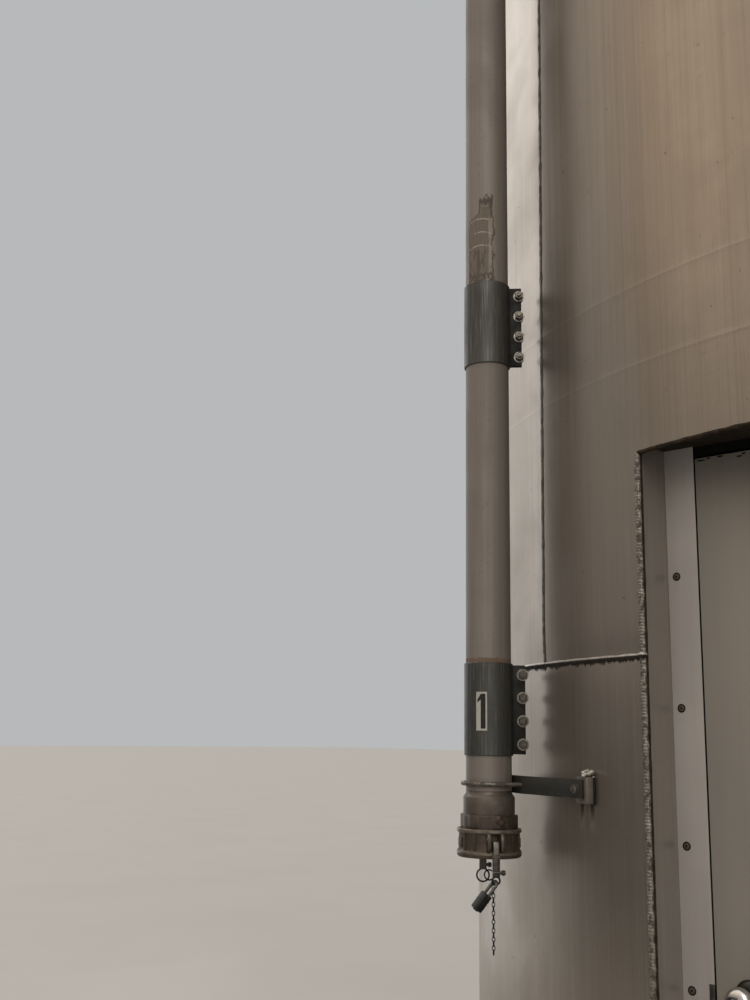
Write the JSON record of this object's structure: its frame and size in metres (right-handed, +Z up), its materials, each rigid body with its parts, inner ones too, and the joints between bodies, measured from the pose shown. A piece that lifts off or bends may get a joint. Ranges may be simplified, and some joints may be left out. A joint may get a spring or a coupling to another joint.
{
  "type": "welded aluminium storage silo",
  "caption": "Tall round welded silo on a skirt, with a door into the skirt, a hopper bottom, a cone roof, a capped fill pipe and an open vent pipe.",
  "frame": {"origin": "underside of the base ring, under the middle of the doorway", "axes": "+Z up, the doorway faces -Y, +X to the right of someone who faces the door"},
  "size_m": [3.7, 3.7247, 19.044],
  "materials": {
    "plate": "weathered mill finish, brown-grey, streaked",
    "frame": "dull light grey extrusion",
    "leaf": "satin grey-beige paint",
    "pipe": "satin, brown-grey",
    "zinc": "galvanised, dull",
    "casting": "sand cast, dirty",
    "dark_steel": "dark, worn",
    "chrome": "polished",
    "seal": "matt black",
    "port": "flange with a dark glass"
  },
  "bodies": {
    "silo": {"base_ring": "plate", "skirt_left": "plate", "skirt_right": "plate", "skirt_back": "plate", "skirt_below_door": "plate", "wall_2_round": "plate", "wall_2_over_door": "plate", "wall_3_4": "plate", "wall_5_6": "plate", "wall_7_8": "plate", "wall_9_10": "plate", "roof_cone": "plate", "roof_hatch": "plate", "roof_inlet": "plate", "hopper_cone": "plate", "hopper_outlet": "plate", "reveal_left": "plate", "reveal_right": "plate", "soffit": "plate", "sill": "plate", "jamb_left": "frame", "jamb_right": "frame", "door_head": "frame", "head_seal": "seal", "pipe_adapter": "casting", "dust_cap": "casting", "cap_arm_back": "casting", "cap_arm_front": "casting", "cap_padlock": "dark_steel", "cap_chain": "dark_steel", "port_low": "port", "port_high": "port", "fill_pipe_1": "pipe", "coupling_1": "zinc", "fill_pipe_2": "pipe", "coupling_2": "zinc", "fill_pipe_3": "pipe", "coupling_3": "zinc", "fill_pipe_4": "pipe", "coupling_4": "zinc", "fill_pipe_top": "pipe", "pipe_bracket_1": "zinc", "pipe_bracket_2": "zinc", "pipe_bracket_3": "zinc", "pipe_bracket_4": "zinc", "pipe_bracket_5": "zinc", "pipe_bracket_6": "zinc", "pipe_bracket_7": "zinc", "pipe_bracket_8": "zinc", "pipe_bracket_9": "zinc", "vent_mouth": "pipe", "vent_pipe_1": "pipe", "vent_pipe_2": "pipe", "vent_pipe_top": "pipe", "vent_coupling_1": "zinc", "vent_coupling_2": "zinc", "vent_coupling_3": "zinc"},
    "door": {"door_leaf": "leaf"},
    "knob": {"door_knob": "chrome"}
  },
  "joints": [
    {"name": "door_hinge", "type": "hinge", "parent": "silo", "child": "door", "pos_m": [0.4675, 0.099, 1.246], "axis": [0, 0, 1], "range_deg": [0, 110]},
    {"name": "knob_turn", "type": "hinge", "parent": "door", "child": "knob", "pos_m": [-0.397, 0.08, 1.237], "axis": [0, -1, 0], "range_deg": [-75, 75], "stiffness_Nm_per_rad": 0.3}
  ]
}
